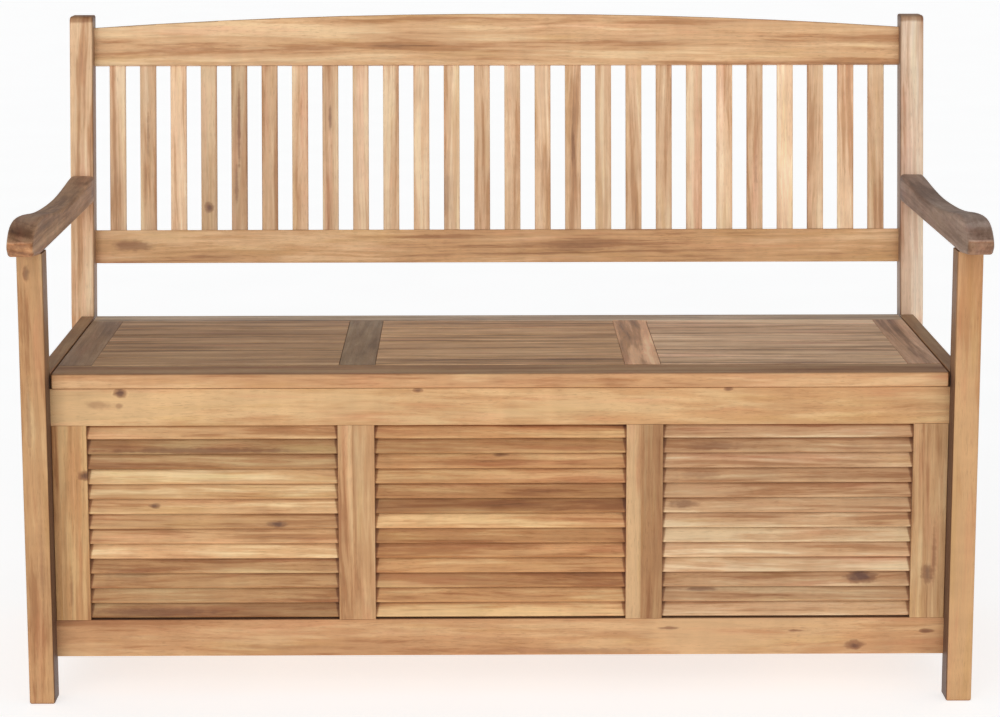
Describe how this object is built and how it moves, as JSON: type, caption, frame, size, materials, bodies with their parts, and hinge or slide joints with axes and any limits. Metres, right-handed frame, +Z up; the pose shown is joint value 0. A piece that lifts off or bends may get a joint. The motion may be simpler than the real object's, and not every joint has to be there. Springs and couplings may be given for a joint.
{
  "type": "garden storage bench",
  "caption": "Wooden garden bench whose louvred box seat is a storage chest: hinged slatted lid, raked slatted back with arched top rail, shaped arms.",
  "frame": {"origin": "on the ground, at the middle of the footprint", "axes": "+X across the width to the left arm of someone facing the bench's front from the back, that is to the viewer's right when facing the bench; +Y towards the back; +Z up"},
  "size_m": [1.29, 0.6959, 0.9018],
  "materials": {
    "frame_wood": "oiled honey-brown hardwood with knots",
    "slat_wood": "oiled honey-brown hardwood, thin slats",
    "lid_wood": "oiled honey-brown hardwood, seat boards",
    "steel": "zinc-plated steel hardware"
  },
  "bodies": {
    "bench": {"front_bottom_rail": "frame_wood", "front_top_rail": "frame_wood", "front_stile_left": "frame_wood", "front_mid_stile_left": "frame_wood", "front_mid_stile_right": "frame_wood", "front_stile_right": "frame_wood", "front_louvres_left": "slat_wood", "front_louvres_centre": "slat_wood", "front_louvres_right": "slat_wood", "rear_bottom_rail": "frame_wood", "rear_top_rail": "frame_wood", "rear_stile_left": "frame_wood", "rear_mid_stile_left": "frame_wood", "rear_mid_stile_right": "frame_wood", "rear_stile_right": "frame_wood", "rear_louvres_left": "slat_wood", "rear_louvres_centre": "slat_wood", "rear_louvres_right": "slat_wood", "left_side_bottom_rail": "frame_wood", "left_side_top_rail": "frame_wood", "left_side_rear_stile": "frame_wood", "left_side_front_stile": "frame_wood", "left_side_louvres": "slat_wood", "right_side_bottom_rail": "frame_wood", "right_side_top_rail": "frame_wood", "right_side_front_stile": "frame_wood", "right_side_rear_stile": "frame_wood", "right_side_louvres": "slat_wood", "front_leg_left": "frame_wood", "front_leg_right": "frame_wood", "back_leg_left": "frame_wood", "back_leg_right": "frame_wood", "back_lower_rail": "frame_wood", "back_top_rail": "frame_wood", "back_slats": "slat_wood", "arm_left": "frame_wood", "arm_right": "frame_wood", "corner_cleats": "frame_wood", "floor_bearers": "frame_wood", "floor_slats": "frame_wood", "hinge_box_leaves": "steel", "hinge_pins": "steel", "hinge_box_screws": "steel", "cleat_screws": "steel", "arm_dowels": "frame_wood", "arm_bolts": "steel", "back_rail_bolts": "steel", "barrel_nuts": "steel"},
    "lid": {"lid_front_rail": "lid_wood", "lid_back_rail": "lid_wood", "lid_end_stile_left": "lid_wood", "lid_cross_rail_left": "lid_wood", "lid_cross_rail_right": "lid_wood", "lid_end_stile_right": "lid_wood", "lid_boards_left": "lid_wood", "lid_boards_centre": "lid_wood", "lid_boards_right": "lid_wood", "hinge_lid_leaves": "steel", "hinge_lid_screws": "steel"}
  },
  "joints": [
    {"name": "lid_hinge", "type": "hinge", "parent": "bench", "child": "lid", "pos_m": [0, 0.25028, 0.433], "axis": [-1, 0, 0], "range_deg": [0, 91]}
  ]
}
